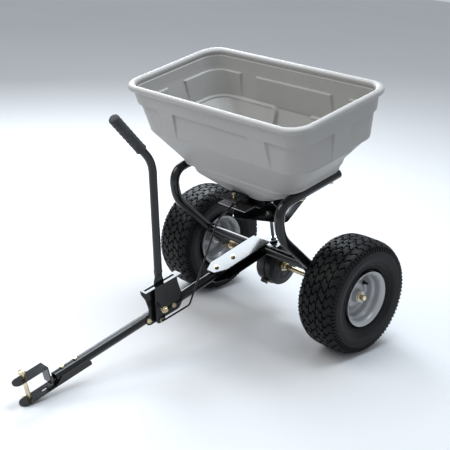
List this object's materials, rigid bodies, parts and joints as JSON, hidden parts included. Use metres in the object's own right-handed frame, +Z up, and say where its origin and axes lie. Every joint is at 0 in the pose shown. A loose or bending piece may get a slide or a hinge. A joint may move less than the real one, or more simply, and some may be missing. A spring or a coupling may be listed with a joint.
{
  "type": "tow-behind broadcast spreader",
  "caption": "Towed broadcast spreader: open hopper over a square impeller that the wheels turn, with a tongue, pin hitch and flow lever.",
  "frame": {"origin": "middle of the footprint on the ground, with the hitch let down to the ground", "axes": "+X towards the right-hand wheel, +Y from the hitch to the wheels, +Z up"},
  "size_m": [0.826, 1.2474, 0.8829],
  "materials": {
    "hopper_plastic": "fine-grained matt moulding",
    "black_paint": "gloss powder coat",
    "black_plastic": "satin moulding",
    "grip_rubber": "matt",
    "tyre_rubber": "moulded tread",
    "rim_paint": "silver-grey paint",
    "yellow_zinc": "yellow zinc plate on steel",
    "bright_zinc": "bright zinc plate",
    "gate_steel": "plain sheet",
    "gear_steel": "machined"
  },
  "bodies": {
    "frame": {"hopper": "hopper_plastic", "frame_tube_left": "black_paint", "frame_tube_right": "black_paint", "crossbar": "black_paint", "tongue_tube": "black_paint", "tongue_plate_upper": "black_paint", "tongue_plate_lower": "black_paint", "hitch_bracket": "black_paint", "hitch_strap": "black_paint", "outlet_plate": "black_paint", "gate_bracket": "black_paint", "gate_guide_left": "black_paint", "gate_guide_right": "black_paint", "lever_bracket": "black_paint", "gearbox_left": "black_plastic", "gearbox_right": "black_plastic", "tongue_bolt_front": "yellow_zinc", "tongue_bolt_rear": "yellow_zinc", "hitch_bolt_front": "yellow_zinc", "hitch_bolt_rear": "yellow_zinc", "hopper_bolt_front_left": "yellow_zinc", "hopper_bolt_rear_left": "yellow_zinc", "hopper_bolt_front_right": "yellow_zinc", "hopper_bolt_rear_right": "yellow_zinc", "bracket_bolt_front": "yellow_zinc", "bracket_bolt_rear": "yellow_zinc", "lever_pivot_bolt": "yellow_zinc", "axle_bushing_left": "yellow_zinc", "axle_bushing_right": "yellow_zinc", "gearbox_screw_front": "yellow_zinc", "gearbox_screw_rear": "yellow_zinc", "lever_spacer": "bright_zinc"},
    "drive_axle": {"axle": "yellow_zinc", "axle_collar": "yellow_zinc", "crown_gear": "gear_steel", "wheel_rim_right": "rim_paint", "tyre_right": "tyre_rubber", "valve_stem_right": "black_plastic", "wheel_washer_right": "yellow_zinc", "cotter_pin_right": "bright_zinc", "cotter_pin_left": "bright_zinc"},
    "free_wheel": {"wheel_rim_left": "rim_paint", "tyre_left": "tyre_rubber", "valve_stem_left": "black_plastic", "wheel_washer_left": "yellow_zinc"},
    "impeller_body": {"impeller_shaft": "gear_steel", "pinion": "gear_steel", "impeller": "black_paint", "agitator_pin": "bright_zinc", "shaft_collar": "bright_zinc"},
    "lever": {"flow_lever": "black_paint", "lever_grip": "grip_rubber"},
    "rod": {"control_rod": "black_paint", "rod_nut": "yellow_zinc"},
    "gate_slide": {"gate": "gate_steel", "gate_pin": "yellow_zinc"},
    "hitch_pin_body": {"hitch_pin": "yellow_zinc", "hitch_clip": "yellow_zinc"}
  },
  "joints": [
    {"name": "axle_spin", "type": "hinge", "parent": "frame", "child": "drive_axle", "pos_m": [0, 0.43323, 0.19059], "axis": [1, 0, 0], "continuous": true},
    {"name": "free_wheel_spin", "type": "hinge", "parent": "drive_axle", "child": "free_wheel", "pos_m": [-0.338, 0.43323, 0.19059], "axis": [1, 0, 0], "continuous": true},
    {"name": "impeller_spin", "type": "hinge", "parent": "frame", "child": "impeller_body", "pos_m": [0, 0.38497, 0.40267], "axis": [0, -0.2219, 0.9751], "continuous": true},
    {"name": "lever_swing", "type": "hinge", "parent": "frame", "child": "lever", "pos_m": [0.0295, -0.11291, 0.18169], "axis": [1, 0, 0], "range_deg": [-21, 21]},
    {"name": "rod_swing", "type": "hinge", "parent": "lever", "child": "rod", "pos_m": [0.0295, -0.10909, 0.13986], "axis": [1, 0, 0], "range_deg": [-21, 21]},
    {"name": "gate_travel", "type": "slide", "parent": "frame", "child": "gate_slide", "axis": [0, 0.9751, 0.2219], "range_m": [-0.0155, 0.0155]},
    {"name": "hitch_pin_turn", "type": "hinge", "parent": "frame", "child": "hitch_pin_body", "pos_m": [0, -0.57796, 0.04609], "axis": [0, -0.2575, 0.9663], "continuous": true}
  ],
  "couplings": [
    {"joint": "impeller_spin", "follows": "axle_spin", "ratio": 4},
    {"joint": "rod_swing", "follows": "lever_swing", "ratio": -0.9857},
    {"joint": "gate_travel", "follows": "lever_swing", "m_per_rad": 0.0406}
  ]
}
